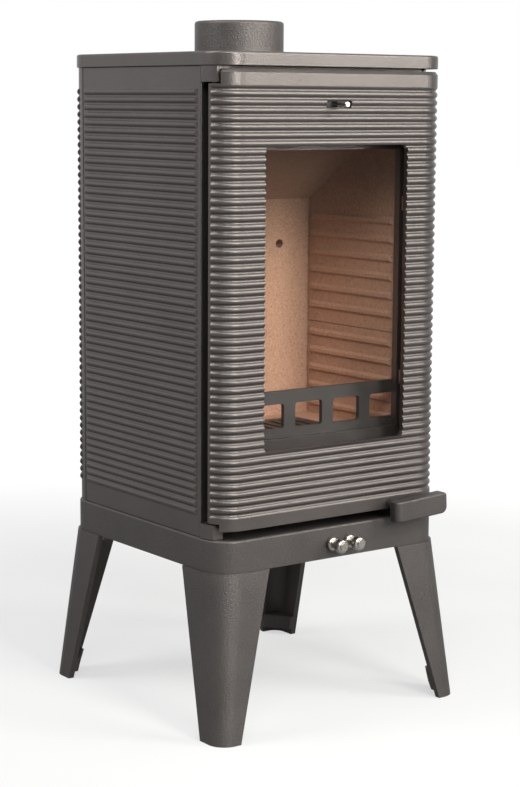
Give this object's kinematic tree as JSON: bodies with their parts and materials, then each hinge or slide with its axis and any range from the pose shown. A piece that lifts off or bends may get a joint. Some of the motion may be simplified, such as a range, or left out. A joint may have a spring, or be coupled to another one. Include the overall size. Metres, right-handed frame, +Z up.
{
  "type": "wood burning stove",
  "caption": "Free-standing cast-iron wood stove on splayed legs: ribbed body, hinged glazed door with latch handle, air controls, lined firebox, ash pan and round flue collar.",
  "frame": {"origin": "on the floor, under the middle of the body", "axes": "+Z up, the door faces -Y, its hinge is on the -X side"},
  "size_m": [0.394, 0.411, 0.8945],
  "materials": {
    "painted_iron": "anthracite heat-proof paint on a fine sand-cast grain",
    "raw_iron": "bare sooty cast iron and blackened sheet",
    "steel": "plain sheet and turned steel",
    "chrome": "polished plating",
    "firebrick": "pressed vermiculite board, speckled tan",
    "rope": "woven glass-fibre rope and tape",
    "glass": "clear ceramic glass with a faint warm tint"
  },
  "bodies": {
    "stove": {"plinth": "painted_iron", "plinth_deck": "painted_iron", "leg_bosses": "painted_iron", "front_left_leg": "painted_iron", "front_right_leg": "painted_iron", "rear_left_leg": "painted_iron", "rear_right_leg": "painted_iron", "leg_bolts": "painted_iron", "left_side_panel": "painted_iron", "right_side_panel": "painted_iron", "back_panel": "painted_iron", "front_frame": "painted_iron", "hinge_pins": "raw_iron", "latch_keeper": "raw_iron", "top_plate": "painted_iron", "flue_collar": "painted_iron", "collar_bolts": "painted_iron", "tie_rods": "painted_iron", "firebox_floor": "firebrick", "grate": "raw_iron", "left_lower_brick": "firebrick", "right_lower_brick": "firebrick", "left_upper_brick": "firebrick", "right_upper_brick": "firebrick", "back_brick": "firebrick", "baffle": "firebrick", "log_guard": "raw_iron", "ash_box": "steel", "ash_pan": "steel", "rear_duct": "steel", "duct_front": "steel", "valve_rails": "steel", "rod_bushes": "steel"},
    "door": {"door": "painted_iron", "door_glass": "glass", "glass_gasket": "rope", "glass_clips": "steel", "clip_screws": "steel", "door_rope": "rope", "airwash_guides": "raw_iron"},
    "airwash": {"airwash_slider": "raw_iron", "airwash_lever": "chrome"},
    "handle": {"door_handle": "painted_iron", "handle_spindle": "steel", "spindle_washer": "steel", "latch_cam": "raw_iron", "spindle_nut": "steel"},
    "primary_air": {"primary_rod": "steel", "primary_knob": "chrome", "primary_valve": "steel"},
    "secondary_air": {"secondary_rod": "steel", "secondary_knob": "chrome", "secondary_valve": "steel"}
  },
  "joints": [
    {"name": "door_hinge", "type": "hinge", "parent": "stove", "child": "door", "pos_m": [-0.17, -0.1515, 0.545], "axis": [0, 0, -1], "range_deg": [0, 110]},
    {"name": "handle_turn", "type": "hinge", "parent": "door", "child": "handle", "pos_m": [0.092, -0.1775, 0.2725], "axis": [0, -1, 0], "range_deg": [-12, 30]},
    {"name": "airwash_slide", "type": "slide", "parent": "door", "child": "airwash", "axis": [1, 0, 0], "range_m": [-0.012, 0.018]},
    {"name": "primary_slide", "type": "slide", "parent": "stove", "child": "primary_air", "axis": [0, -1, 0], "range_m": [0, 0.03]},
    {"name": "secondary_slide", "type": "slide", "parent": "stove", "child": "secondary_air", "axis": [0, -1, 0], "range_m": [0, 0.03]}
  ]
}
